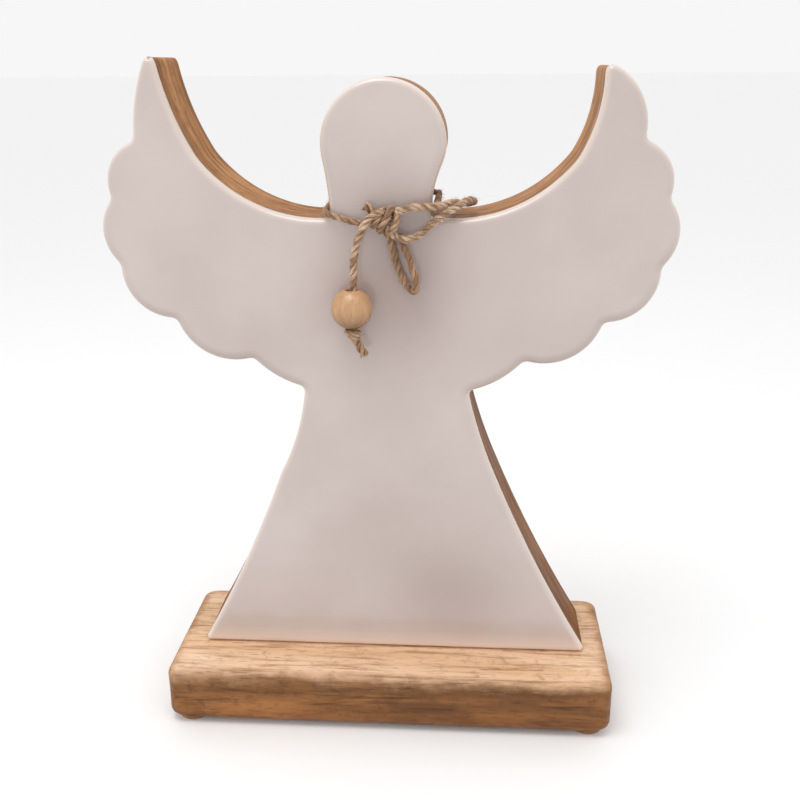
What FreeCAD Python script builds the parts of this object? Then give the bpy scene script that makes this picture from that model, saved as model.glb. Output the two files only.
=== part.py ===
"""Enamelled wooden angel on a block base, with a jute bow at the neck and one bead.

The frame is the block's centre at the level the figure stands on: +X to the viewer's
right, +Y to the back, +Z up, in millimetres. The angel is one flat sawn board with a
thick enamel layer over its whole front, screwed to the block from below.
"""
import FreeCAD
import Part
import Sketcher
import math
import os
import re

V = FreeCAD.Vector

doc = FreeCAD.newDocument("angel_figurine")

# ---------------------------------------------------------------- driving dimensions
DIMENSIONS = {
    "block and its felt pads": {
        "block_width": 175.0, "block_depth": 66.0, "block_height": 22.0,
        "block_corner": 5.0, "block_round": 2.5,
        "pad_diameter": 12.0, "pad_thickness": 1.5, "pad_inset": 8.5,
    },
    "board and enamel": {
        "board_thickness": 30.0, "board_setback": 26.0, "board_edge_round": 1.0,
        "enamel_thickness": 3.0, "enamel_roll": 1.6,
        "notch_round": 1.6, "point_round": 1.9, "bend_round": 14.0,
    },
    "dress, from the hem up": {
        "right_hem_x": 79.1, "left_hem_x": 77.5, "hem_z": 0.0,
        "right_skirt_x": 41.1, "right_skirt_radius": 560.0,
        "left_skirt_x": 42.3, "left_skirt_radius": 520.0, "skirt_z": 75.4,
        "right_waist_x": 30.0, "right_waist_z": 110.5, "right_waist_radius": 200.0,
        "left_waist_x": 31.5, "left_waist_z": 111.2, "left_waist_radius": 96.0,
    },
    "feather notches, from the waist out, and the scallop before each": {
        "first_notch_x": 50.5, "first_notch_z": 122.5, "first_scallop_radius": 36.0,
        "second_notch_x": 78.6, "second_notch_z": 137.3, "second_scallop_radius": 22.0,
        "third_notch_x": 97.8, "third_notch_z": 157.5, "third_scallop_radius": 18.8,
        "fourth_notch_x": 98.9, "fourth_notch_z": 181.5, "fourth_scallop_radius": 17.0,
        "fifth_notch_x": 89.1, "fifth_notch_z": 201.6, "fifth_scallop_radius": 15.3,
    },
    "wing tips, which the sawyer left a little unlike": {
        "right_tip_outer_x": 78.4, "right_tip_outer_z": 225.4, "right_long_feather_radius": 22.3,
        "right_tip_inner_x": 74.2, "right_tip_inner_z": 226.9, "right_inner_radius": 55.0,
        "left_tip_outer_x": 83.1, "left_tip_outer_z": 228.9, "left_long_feather_radius": 75.0,
        "left_tip_inner_x": 79.9, "left_tip_inner_z": 231.3, "left_inner_radius": 96.0,
        "wing_inner_x": 67.0, "wing_inner_z": 195.4,
        "wing_ledge_x": 24.0, "wing_ledge_z": 174.4, "wing_ledge_radius": 54.5238,
    },
    "neck and head": {
        "right_neck_x": 15.4, "right_neck_radius": 60.0,
        "left_neck_x": 19.9, "left_neck_radius": 130.0, "neck_z": 174.4,
        "right_cheek_x": 21.0, "left_cheek_x": 22.6, "cheek_z": 196.0, "head_radius": 22.2,
    },
    "wood screws": {
        "screw_spacing": 90.0, "screw_diameter": 4.0, "screw_length": 44.0, "screw_point": 5.0,
        "screw_head_diameter": 8.0, "screw_slot": 1.0, "screw_slot_depth": 0.9,
        "clearance_hole": 4.5, "countersink": 8.6,
    },
    "twine, knots and bead": {
        "twine_diameter": 2.6, "bead_diameter": 14.8, "bead_bore": 4.4,
        "bow_knot_width": 11.0, "bow_knot_depth": 7.4, "bow_knot_height": 9.6,
        "end_knot_width": 6.6, "end_knot_height": 4.2, "swing_clearance": 0.02,
    },
}

sheet = doc.addObject("Spreadsheet::Sheet", "Dims")
row = 0
for group, cells in DIMENSIONS.items():
    row += 1
    sheet.set("A%d" % row, group)
    for alias, size in cells.items():
        row += 1
        sheet.set("A%d" % row, alias)
        sheet.set("B%d" % row, str(size))
        sheet.setAlias("B%d" % row, alias)
doc.recompute()


def dim(alias):
    """A driving dimension as a number, for geometry that no expression can reach."""
    return float(sheet.get(alias))


def bind(thing, **sizes):
    """Tie an object's properties to formulas over the sheet's aliases."""
    for name, formula in sizes.items():
        thing.setExpression(name.replace("__", "."), re.sub(r"([a-z]\w+)", r"Dims.\1", formula))


# levels and planes that several pieces share
BLOCK_TOP = "(pad_thickness + block_height)"
BOARD_FRONT = "(board_setback - block_depth / 2)"
SCREW_Y = BOARD_FRONT + " + board_thickness / 2"
screw_y = dim("board_setback") - dim("block_depth") / 2 + dim("board_thickness") / 2


# ---------------------------------------------------------------- helpers for bodies
def new_body(name):
    body = doc.addObject("PartDesign::Body", name)
    body.Label = name
    return body


def new_sketch(body, name, plane):
    sketch = body.newObject("Sketcher::SketchObject", name)
    feature = [f for f in body.Origin.OriginFeatures if f.Role == plane][0]
    sketch.AttachmentSupport = [(feature, "")]
    sketch.MapMode = "FlatFace"
    return sketch


def drive(sketch, constraint, formula):
    """Add a dimension to a sketch and tie it to the sheet."""
    index = sketch.addConstraint(constraint)
    bind(sketch, **{"Constraints[%d]" % index: formula})


def round_edges(body, name, base, radius, chosen):
    """Fillet the edges of a feature that the test accepts."""
    doc.recompute()
    names = ["Edge%d" % (i + 1) for i, edge in enumerate(base.Shape.Edges) if chosen(edge)]
    fillet = body.newObject("PartDesign::Fillet", name)
    fillet.Base = (base, names)
    bind(fillet, Radius=radius)
    doc.recompute()
    return fillet


def along(edge, axis):
    """True for a straight edge parallel to an axis."""
    if not isinstance(edge.Curve, Part.Line):
        return False
    return abs(abs(edge.Curve.Direction.dot(axis)) - 1) < 1e-6


# ---------------------------------------------------------------- the angel's outline
class Outline:
    """Corners of the silhouette, counter-clockwise from the front, and what joins them."""

    # each step: corner, its x and z, and the radius that leads to it from the last corner;
    # +1 bows out of the wood, -1 into it, 0 is straight
    HALF = [
        ("SIDE_hem_x", "hem_z", None, 0),
        ("SIDE_skirt_x", "skirt_z", "SIDE_skirt_radius", -1),
        ("SIDE_waist_x", "SIDE_waist_z", "SIDE_waist_radius", -1),
        ("first_notch_x", "first_notch_z", "first_scallop_radius", 1),
        ("second_notch_x", "second_notch_z", "second_scallop_radius", 1),
        ("third_notch_x", "third_notch_z", "third_scallop_radius", 1),
        ("fourth_notch_x", "fourth_notch_z", "fourth_scallop_radius", 1),
        ("fifth_notch_x", "fifth_notch_z", "fifth_scallop_radius", 1),
        ("SIDE_tip_outer_x", "SIDE_tip_outer_z", "SIDE_long_feather_radius", 1),
        ("SIDE_tip_inner_x", "SIDE_tip_inner_z", None, 0),
        ("wing_inner_x", "wing_inner_z", "SIDE_inner_radius", -1),
        ("wing_ledge_x", "wing_ledge_z", "wing_ledge_radius", -1),
        ("SIDE_neck_x", "neck_z", None, 0),
        ("SIDE_cheek_x", "cheek_z", "SIDE_neck_radius", -1),
    ]

    def __init__(self):
        right = [[str(item).replace("SIDE", "right") for item in step] for step in self.HALF]
        left = [[str(item).replace("SIDE", "left") for item in step] for step in self.HALF]
        self.corners = [(1, s[0], s[1]) for s in right] + [(-1, s[0], s[1]) for s in left[::-1]]
        joins = [(s[2], int(s[3])) for s in right[1:]]
        self.joins = joins + [("head_radius", 1)] + [(s[2], int(s[3])) for s in left[:0:-1]]
        self.joins.append(("None", 0))

    def point(self, index):
        side, x, z = self.corners[index % len(self.corners)]
        return V(side * dim(x), dim(z), 0)

    def edge(self, index):
        """The line or arc that leaves a corner; an arc always runs counter-clockwise."""
        start, end = self.point(index), self.point(index + 1)
        radius, bow = self.joins[index]
        if bow == 0:
            return Part.LineSegment(start, end)
        chord = end - start
        outward = V(chord.y, -chord.x, 0).normalize()
        reach = math.sqrt(dim(radius) ** 2 - (chord.Length / 2) ** 2)
        is_head = radius == "head_radius"
        rise = dim(radius) + reach if is_head else dim(radius) - reach
        middle = (start + end) / 2 + outward * rise * bow
        return Part.Arc(start, middle, end) if bow > 0 else Part.Arc(end, middle, start)

    def draw(self, sketch):
        """Draw the outline, close it and drive every corner and radius from the sheet."""
        count = len(self.corners)
        ends = []
        for index in range(count):
            number = sketch.addGeometry(self.edge(index), False)
            hollow = self.joins[index][1] < 0
            ends.append((number, 2, 1) if hollow else (number, 1, 2))
        for index in range(count):
            number, _, end = ends[index]
            after, start, _ = ends[(index + 1) % count]
            sketch.addConstraint(Sketcher.Constraint("Coincident", number, end, after, start))
        for index, (side, x, z) in enumerate(self.corners):
            number, start, _ = ends[index]
            across = (-1, 1, number, start) if side > 0 else (number, start, -1, 1)
            drive(sketch, Sketcher.Constraint("DistanceX", *across, dim(x)), x)
            if dim(z) == 0:
                sketch.addConstraint(Sketcher.Constraint("PointOnObject", number, start, -1))
            else:
                drive(sketch, Sketcher.Constraint("DistanceY", -1, 1, number, start, dim(z)), z)
            radius, bow = self.joins[index]
            if bow:
                drive(sketch, Sketcher.Constraint("Radius", number, dim(radius)), radius)


outline = Outline()


def at_corners(edge, corners):
    """True for an edge through the thickness at one of the named corners, on either side."""
    place = V(abs(edge.CenterOfMass.x), 0, edge.CenterOfMass.z)
    spots = [V(dim(x), 0, dim(z)) for _, x, z in outline.corners if x[:-2] in corners]
    return along(edge, V(0, 1, 0)) and min(place.distanceToPoint(spot) for spot in spots) < 0.01


NOTCHES = ["right_waist", "left_waist", "first_notch", "second_notch", "third_notch",
           "fourth_notch", "fifth_notch", "right_neck", "left_neck"]
POINTS = ["right_tip_outer", "right_tip_inner", "left_tip_outer", "left_tip_inner",
          "right_hem", "left_hem"]
BENDS = ["right_skirt", "left_skirt", "wing_inner", "right_cheek", "left_cheek"]


def sawn_outline(name, thickness, backwards):
    """A slab of the outline with its corners eased; its front or back is at y = 0."""
    body = new_body(name)
    sketch = new_sketch(body, name + "_outline", "XZ_Plane")
    outline.draw(sketch)
    slab = body.newObject("PartDesign::Pad", name + "_slab")
    slab.Profile = sketch
    slab.Reversed = backwards
    bind(slab, Length=thickness)
    eased = slab
    for kind, radius, corners in (("bends", "bend_round", BENDS),
                                  ("notches", "notch_round", NOTCHES),
                                  ("points", "point_round", POINTS)):
        eased = round_edges(body, "%s_%s" % (name, kind), eased, radius,
                            lambda edge: at_corners(edge, corners))
    bind(body, Placement__Base__y=BOARD_FRONT, Placement__Base__z=BLOCK_TOP)
    return body, eased


# ---------------------------------------------------------------- block, pads, board, enamel
def base_block():
    body = new_body("base_block")
    sketch = new_sketch(body, "block_plan", "XY_Plane")
    half_width, half_depth = dim("block_width") / 2, dim("block_depth") / 2
    plan = [V(half_width * x, half_depth * y, 0) for x, y in ((-1, -1), (1, -1), (1, 1), (-1, 1))]
    for index in range(4):
        sketch.addGeometry(Part.LineSegment(plan[index], plan[(index + 1) % 4]), False)
    for index in range(4):
        joint = (index, 2, (index + 1) % 4, 1)
        sketch.addConstraint(Sketcher.Constraint("Coincident", *joint))
        kind = "Vertical" if index % 2 else "Horizontal"
        sketch.addConstraint(Sketcher.Constraint(kind, index))
    sketch.addConstraint(Sketcher.Constraint("Symmetric", 0, 1, 1, 2, -1, 1))
    drive(sketch, Sketcher.Constraint("DistanceX", 0, 1, 0, 2, 2 * half_width), "block_width")
    drive(sketch, Sketcher.Constraint("DistanceY", 1, 1, 1, 2, 2 * half_depth), "block_depth")
    slab = body.newObject("PartDesign::Pad", "block_slab")
    slab.Profile = sketch
    bind(slab, Length="block_height")
    corners = round_edges(body, "block_corners", slab, "block_corner",
                          lambda edge: along(edge, V(0, 0, 1)))
    eased = round_edges(body, "block_edges", corners, "block_round",
                        lambda edge: not along(edge, V(0, 0, 1)))

    holes = new_sketch(body, "screw_hole_plan", "XY_Plane")
    for side, across in ((1, (-1, 1, 0, 3)), (-1, (1, 3, -1, 1))):
        centre = V(side * dim("screw_spacing") / 2, screw_y, 0)
        number = holes.addGeometry(Part.Circle(centre, V(0, 0, 1), dim("clearance_hole") / 2), False)
        drive(holes, Sketcher.Constraint("DistanceX", *across, abs(centre.x)), "screw_spacing / 2")
        drive(holes, Sketcher.Constraint("DistanceY", -1, 1, number, 3, screw_y), SCREW_Y)
        radius = Sketcher.Constraint("Radius", number, dim("clearance_hole") / 2)
        drive(holes, radius, "clearance_hole / 2")
    bored = body.newObject("PartDesign::Pocket", "screw_holes")
    bored.Profile = holes
    bored.Reversed = True
    bind(bored, Length="block_height")
    doc.recompute()

    rims = []
    for index, edge in enumerate(bored.Shape.Edges):
        if isinstance(edge.Curve, Part.Circle) and edge.CenterOfMass.z < 1e-6:
            if abs(edge.Curve.Radius * 2 - dim("clearance_hole")) < 1e-6:
                rims.append("Edge%d" % (index + 1))
    sinks = body.newObject("PartDesign::Chamfer", "countersinks")
    sinks.Base = (bored, rims)
    bind(sinks, Size="(countersink - clearance_hole) / 2")
    bind(body, Placement__Base__z="pad_thickness")
    body.Tip = sinks
    return body, eased


def felt_pads():
    pads = []
    for depth_name, depth_sign in (("front", "-"), ("back", "")):
        for side_name, side_sign in (("left", "-"), ("right", "")):
            name = "felt_pad_%s_%s" % (depth_name, side_name)
            pad = doc.addObject("Part::Cylinder", name)
            pad.Label = name
            bind(pad, Radius="pad_diameter / 2", Height="pad_thickness",
                 Placement__Base__x=side_sign + "(block_width / 2 - pad_inset)",
                 Placement__Base__y=depth_sign + "(block_depth / 2 - pad_inset)")
            pads.append(pad)
    return pads


def angel_board():
    body, eased = sawn_outline("angel_board", "board_thickness", backwards=True)
    pilots = new_sketch(body, "pilot_hole_plan", "XY_Plane")
    for side, across in ((1, (-1, 1, 0, 3)), (-1, (1, 3, -1, 1))):
        centre = V(side * dim("screw_spacing") / 2, dim("board_thickness") / 2, 0)
        number = pilots.addGeometry(Part.Circle(centre, V(0, 0, 1), dim("screw_diameter") / 2), False)
        drive(pilots, Sketcher.Constraint("DistanceX", *across, abs(centre.x)), "screw_spacing / 2")
        middle = Sketcher.Constraint("DistanceY", -1, 1, number, 3, dim("board_thickness") / 2)
        drive(pilots, middle, "board_thickness / 2")
        radius = Sketcher.Constraint("Radius", number, dim("screw_diameter") / 2)
        drive(pilots, radius, "screw_diameter / 2")
    bored = body.newObject("PartDesign::Pocket", "pilot_holes")
    bored.Profile = pilots
    bored.Reversed = True
    bind(bored, Length="screw_length - block_height")
    doc.recompute()
    back = dim("board_thickness")
    softened = round_edges(body, "board_back_edges", bored, "board_edge_round",
                           lambda edge: edge.BoundBox.YMin > back - 1e-6)
    body.Tip = softened
    return body, eased


def enamel_face():
    body, slab = sawn_outline("enamel_face", "enamel_thickness", backwards=False)
    front = -dim("enamel_thickness")
    rolled = round_edges(body, "enamel_rolled_edge", slab, "enamel_roll",
                         lambda edge: edge.BoundBox.YMax < front + 1e-6)
    body.Tip = rolled
    return body, slab


# ---------------------------------------------------------------- screws
def wood_screw(number, side_sign):
    """A countersunk wood screw, point up, its slotted head flush with the block's underside."""
    place = {"Placement__Base__x": side_sign + "screw_spacing / 2", "Placement__Base__y": SCREW_Y}
    rise = "(screw_head_diameter - screw_diameter) / 2"

    def cylinder_or_cone(kind, name, height, start, **sizes):
        piece = doc.addObject(kind, "screw_%s_%d" % (name, number))
        bind(piece, Height=height, Placement__Base__z=start, **place, **sizes)
        return piece

    head = cylinder_or_cone("Part::Cone", "head", rise, "pad_thickness",
                            Radius1="screw_head_diameter / 2", Radius2="screw_diameter / 2")
    shank = cylinder_or_cone("Part::Cylinder", "shank", "screw_length - screw_point - " + rise,
                             "pad_thickness + " + rise, Radius="screw_diameter / 2")
    point = cylinder_or_cone("Part::Cone", "point", "screw_point",
                             "pad_thickness + screw_length - screw_point",
                             Radius1="screw_diameter / 2", Radius2="screw_diameter / 8")
    whole = doc.addObject("Part::MultiFuse", "screw_whole_%d" % number)
    whole.Shapes = [head, shank, point]
    slot = doc.addObject("Part::Box", "screw_slot_%d" % number)
    bind(slot, Length="screw_head_diameter", Width="screw_slot", Height="screw_slot_depth",
         Placement__Base__x=side_sign + "screw_spacing / 2 - screw_head_diameter / 2",
         Placement__Base__y=SCREW_Y + " - screw_slot / 2", Placement__Base__z="pad_thickness")
    screw = doc.addObject("Part::Cut", "screw_%d" % number)
    screw.Base = whole
    screw.Tool = slot
    return screw


def fixing_screws():
    pair = doc.addObject("Part::Compound", "fixing_screws")
    pair.Label = "fixing_screws"
    pair.Links = [wood_screw(1, "-"), wood_screw(2, "")]
    return pair


# ---------------------------------------------------------------- twine
# Routes of the twine's centreline, chosen by hand: the tie round the neck, the two loops
# of the bow, the cut end and the tail that carries the bead.
NECK_TIE = [
    (-1.5, -12.9, 197.4), (-6.6, -12.0, 196.7), (-12.0, -11.9, 197.4), (-16.0, -12.0, 198.7),
    (-19.2, -12.3, 199.7), (-21.4, -9.9, 200.3), (-21.8, -5.2, 200.6), (-21.5, 2.8, 201.1),
    (-21.8, 10.6, 201.2), (-22.0, 18.0, 201.8), (-22.0, 22.8, 202.0), (-19.6, 25.3, 202.2),
    (-15.2, 25.4, 202.4), (-8.2, 25.1, 202.6), (-0.6, 25.5, 202.6), (6.4, 25.2, 203.0),
    (11.6, 25.4, 203.1), (15.6, 25.3, 203.2), (17.9, 22.8, 203.4), (18.1, 17.8, 203.6),
    (18.0, 10.9, 203.0), (18.1, 3.6, 203.1), (18.0, -3.4, 203.1), (18.2, -9.6, 202.8),
    (15.6, -12.4, 202.9), (11.2, -12.1, 202.8), (6.5, -12.3, 201.8), (1.8, -13.0, 200.2),
]
BOW_LOOP_RIGHT = [
    (0.6, -15.4, 196.8), (2.6, -15.9, 193.4), (7.2, -15.7, 191.4), (12.2, -14.8, 193.0),
    (16.8, -14.0, 197.4), (21.4, -13.4, 200.6), (26.0, -9.8, 202.8), (28.9, -4.4, 204.0),
    (30.9, 0.7, 203.2), (31.2, 5.3, 202.1), (28.0, 7.3, 201.3), (24.8, 5.7, 201.5),
    (24.1, -1.2, 202.6), (22.8, -7.6, 203.5), (20.4, -12.6, 203.3), (15.8, -15.4, 203.0),
    (9.6, -15.6, 203.3), (4.0, -15.4, 201.2),
]
BOW_LOOP_LOWER = [
    (-0.4, -12.7, 196.2), (1.7, -12.4, 192.0), (2.9, -12.1, 187.2), (3.9, -12.0, 182.4),
    (5.5, -12.0, 178.2), (7.4, -12.2, 174.7), (9.8, -13.9, 172.8), (11.3, -17.0, 174.2),
    (10.9, -17.8, 178.6), (9.3, -16.2, 183.2), (7.4, -14.2, 188.0), (4.6, -12.6, 193.0),
]
SHORT_END = [(-1.0, -13.6, 199.8), (-4.0, -13.6, 201.2), (-7.0, -13.8, 203.3)]
TAIL = [
    (-0.2, -16.6, 201.6), (-3.4, -17.4, 201.0), (-6.5, -17.8, 197.9), (-8.7, -17.9, 193.4),
    (-10.2, -17.9, 188.2), (-11.1, -17.8, 182.4), (-11.1, -17.8, 158.2),
]
FRAYED_END = [(-11.1, -17.6, 157.6), (-9.9, -16.8, 153.6), (-7.7, -16.2, 149.8)]
TAIL_PIVOT = V(-9.5, -17.9, 190.7)
BOW_KNOT = V(0.5, -14.2, 198.7)
BEAD = V(-11.8, -17.8, 167.4)
END_KNOT = V(-11.2, -17.8, 158.0)
ARC_SHARE = 0.45  # how much of the shorter run a corner's arc takes at each of its ends


def twine_path(name, route):
    """Straight runs joined by tangent arcs, each as large as its two runs allow."""
    points = [V(*point) for point in route]
    edges, radii, here = [], [], points[0]
    for before, corner, after in zip(points, points[1:], points[2:]):
        arriving, leaving = corner - before, after - corner
        turn = arriving.getAngle(leaving)
        reach = ARC_SHARE * min(arriving.Length, leaving.Length)
        radii.append(reach / math.tan(turn / 2))
        arriving.normalize()
        leaving.normalize()
        first, last = corner - arriving * reach, corner + leaving * reach
        inward = (leaving - arriving).normalize()
        depth = radii[-1] * (1 / math.cos(turn / 2) - 1)
        edges.append(Part.LineSegment(here, first).toShape())
        edges.append(Part.Arc(first, corner + inward * depth, last).toShape())
        here = last
    edges.append(Part.LineSegment(here, points[-1]).toShape())
    print("%-16s radii %s" % (name, " ".join("%.1f" % radius for radius in radii)))
    return Part.Wire(edges)


def twine_solid(name, route):
    """A round tube of the twine's thickness along a route."""
    path = twine_path(name, route)
    radius = dim("twine_diameter") / 2
    heading = V(*route[1]) - V(*route[0])
    section = Part.Wire([Part.Circle(V(*route[0]), heading, radius).toShape()])
    tube = path.makePipeShell([section], True, True)
    expected = math.pi * radius ** 2 * path.Length
    print("%-16s volume %.1f, section x length %.1f" % (name, tube.Volume, expected))
    return tube


def add_feature(name, shape):
    feature = doc.addObject("Part::Feature", name)
    feature.Label = name
    feature.Shape = shape
    return feature


def tail_pieces():
    """The tail in two: a root that stays at the knot, and the drop that swings on a round end."""
    radius = dim("twine_diameter") / 2
    above, below = TAIL[:4], TAIL[4:]
    heading = (V(*below[0]) - V(*above[-1])).normalize()
    root_end = TAIL_PIVOT - heading * (radius + dim("swing_clearance"))
    root = twine_solid("tail_root", above[:-1] + [tuple(root_end)])
    drop = twine_solid("tail_drop", [tuple(TAIL_PIVOT)] + below)
    drop = drop.fuse(Part.makeSphere(radius, TAIL_PIVOT)).removeSplitter()
    return [add_feature("tail_root", root), add_feature("tail_drop", drop)]


def twine_pieces():
    routes = {"neck_tie": NECK_TIE, "bow_loop_right": BOW_LOOP_RIGHT,
              "bow_loop_lower": BOW_LOOP_LOWER, "short_end": SHORT_END,
              "frayed_end": FRAYED_END}
    pieces = [add_feature(name, twine_solid(name, route)) for name, route in routes.items()]
    return pieces + tail_pieces()


def knot(name, centre, width, depth, height):
    """A knot as a rounded lump: semi-axes along X, Y and Z."""
    lump = doc.addObject("Part::Ellipsoid", name)
    lump.Label = name
    bind(lump, Radius1=height + " / 2", Radius2=width + " / 2", Radius3=depth + " / 2")
    lump.Placement.Base = centre
    return lump


def wood_bead():
    ball = doc.addObject("Part::Sphere", "bead_ball")
    bind(ball, Radius="bead_diameter / 2")
    ball.Placement.Base = BEAD
    bore = doc.addObject("Part::Cylinder", "bead_bore_drill")
    bind(bore, Radius="bead_bore / 2", Height="bead_diameter")
    bore.Placement.Base = BEAD - V(0, 0, dim("bead_diameter") / 2)
    bead = doc.addObject("Part::Cut", "wood_bead")
    bead.Label = "wood_bead"
    bead.Base = ball
    bead.Tool = bore
    return bead


# ---------------------------------------------------------------- build, check, write
block, block_before_holes = base_block()
board, board_before_holes = angel_board()
enamel, enamel_before_roll = enamel_face()
pieces = [block, board, enamel, fixing_screws(), wood_bead()]
pieces += felt_pads() + twine_pieces()
pieces.append(knot("bow_knot", BOW_KNOT, "bow_knot_width", "bow_knot_depth", "bow_knot_height"))
pieces.append(knot("end_knot", END_KNOT, "end_knot_width", "end_knot_width", "end_knot_height"))
doc.recompute()

for thing in doc.Objects:
    if "Invalid" in thing.State or "Error" in thing.State:
        raise RuntimeError("%s did not rebuild: %s" % (thing.Name, thing.State))
for whole, before, cut in ((block, block_before_holes, "screw holes"),
                           (board, board_before_holes, "pilot holes and eased back edge"),
                           (enamel, enamel_before_roll, "rolled edge")):
    removed = before.Shape.Volume - whole.Shape.Volume
    print("%s: %s take %.0f cubic millimetres" % (whole.Label, cut, removed))
    if removed <= 0:
        raise RuntimeError(whole.Label + ": " + cut + " cut nothing")
for piece in pieces:
    if piece.Shape.isNull() or not piece.Shape.isValid():
        raise RuntimeError(piece.Label + " has no valid shape")

os.makedirs("parts", exist_ok=True)
for piece in pieces:
    piece.Shape.exportStep("parts/%s.step" % piece.Label)
print("%d sub-parts written" % len(pieces))
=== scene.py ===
"""The looks of the enamelled wooden angel: jute twine, wooden bead, poured enamel and oiled mango wood.

Every size is in metres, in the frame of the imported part: +Z up, the face of the angel towards -Y,
the origin under the middle of the block.
"""
import math
import random

import bpy
import numpy as np
from mathutils import Matrix, Vector, geometry, noise


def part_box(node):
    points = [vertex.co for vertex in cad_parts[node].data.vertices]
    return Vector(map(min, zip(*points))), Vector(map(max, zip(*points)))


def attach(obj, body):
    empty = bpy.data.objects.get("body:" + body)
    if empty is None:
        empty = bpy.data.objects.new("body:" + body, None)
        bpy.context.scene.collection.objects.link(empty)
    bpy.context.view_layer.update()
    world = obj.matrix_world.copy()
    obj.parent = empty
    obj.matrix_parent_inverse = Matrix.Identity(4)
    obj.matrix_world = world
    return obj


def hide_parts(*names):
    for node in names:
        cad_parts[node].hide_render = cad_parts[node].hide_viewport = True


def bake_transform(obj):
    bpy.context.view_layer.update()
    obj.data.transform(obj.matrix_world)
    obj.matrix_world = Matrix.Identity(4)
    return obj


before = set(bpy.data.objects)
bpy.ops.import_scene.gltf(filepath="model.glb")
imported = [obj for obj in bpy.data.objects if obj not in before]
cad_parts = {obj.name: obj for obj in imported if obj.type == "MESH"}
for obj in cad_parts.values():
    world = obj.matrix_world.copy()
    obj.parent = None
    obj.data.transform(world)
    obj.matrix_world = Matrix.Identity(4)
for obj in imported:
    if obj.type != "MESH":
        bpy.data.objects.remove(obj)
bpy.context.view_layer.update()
MM = 0.001


# ---------------------------------------------------------------- camera

CAMERA_AT = (0.0299, -0.3607, 0.2508)
CAMERA_TURNED_LEFT = 4.12
CAMERA_TILTED_DOWN = 18.87
CAMERA_ROLL = -0.44
LENS = 44.6
SENSOR = 36.0


def add_camera():
    """The viewpoint: a little right of the middle, looking down at the block's top."""
    camera = bpy.data.objects.new("camera", bpy.data.cameras.new("camera"))
    camera.data.lens = LENS
    camera.data.sensor_width = SENSOR
    camera.data.clip_start = 0.01
    camera.matrix_world = (
        Matrix.Translation(CAMERA_AT)
        @ Matrix.Rotation(math.radians(CAMERA_TURNED_LEFT), 4, "Z")
        @ Matrix.Rotation(math.radians(90 - CAMERA_TILTED_DOWN), 4, "X")
        @ Matrix.Rotation(math.radians(CAMERA_ROLL), 4, "Z")
    )
    bpy.context.collection.objects.link(camera)
    bpy.context.scene.camera = camera


add_camera()


# ---------------------------------------------------------------- materials


class Finish:
    """A material whose Principled shader takes its colour, roughness and bump from patterns."""

    def __init__(self, name, **sockets):
        self.material = bpy.data.materials.new(name)
        self.material.use_nodes = True
        self.tree = self.material.node_tree
        self.shader = self.tree.nodes["Principled BSDF"]
        self.place = self.node("TexCoord").outputs["Object"]
        for socket, value in sockets.items():
            self.set(socket.replace("_", " "), value)

    def node(self, kind, inputs=None, **settings):
        """One shader node; its inputs are plain values or other nodes' outputs."""
        made = self.tree.nodes.new("ShaderNode" + kind)
        for setting, value in settings.items():
            setattr(made, setting, value)
        for socket, value in (inputs or {}).items():
            self.plug(made.inputs[socket], value)
        return made

    def plug(self, socket, value):
        """Join a socket to another node's output, or give it a plain value."""
        if isinstance(value, bpy.types.NodeSocket):
            self.tree.links.new(value, socket)
        else:
            socket.default_value = value

    def set(self, socket, value):
        self.plug(self.shader.inputs[socket], value)

    def stretched(self, scale, place=None):
        """Coordinates with a scale of their own along each axis."""
        inputs = {"Vector": place or self.place, "Scale": scale}
        return self.node("Mapping", inputs).outputs["Vector"]

    def clouds(self, place, scale, detail, rough, warp=0.0):
        """Soft noise from 0 to 1."""
        inputs = {
            "Vector": place,
            "Scale": scale,
            "Detail": detail,
            "Roughness": rough,
            "Distortion": warp,
        }
        return self.node("TexNoise", inputs).outputs["Fac"]

    def attribute(self, name, output="Fac"):
        return self.node("Attribute", attribute_name=name).outputs[output]

    def ranged(self, value, low, high, to_low=0.0, to_high=1.0):
        """A smooth step of value, from low to high."""
        inputs = {
            "Value": value,
            "From Min": low,
            "From Max": high,
            "To Min": to_low,
            "To Max": to_high,
        }
        made = self.node("MapRange", inputs, interpolation_type="SMOOTHSTEP")
        return made.outputs["Result"]

    def maths(self, operation, first, second):
        made = self.node("Math", {0: first, 1: second}, operation=operation)
        return made.outputs["Value"]

    def mix(self, factor, first, second):
        """Two colours mixed."""
        made = self.node("Mix", data_type="RGBA")
        self.plug(made.inputs["Factor"], factor)
        self.plug(made.inputs[6], first)
        self.plug(made.inputs[7], second)
        return made.outputs[2]

    def bump(self, height, distance, strength, below=None):
        """A surface relief, laid over the one below."""
        inputs = {"Height": height, "Distance": distance, "Strength": strength}
        if below is not None:
            inputs["Normal"] = below
        return self.node("Bump", inputs).outputs["Normal"]


def clamped(value):
    """The value, kept between 0 and 1."""
    return min(1.0, max(0.0, value))


def paint(red, green, blue):
    """A colour from its 0 to 255 display values."""
    return tuple((part / 255) ** 2.2 for part in (red, green, blue)) + (1.0,)


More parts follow.
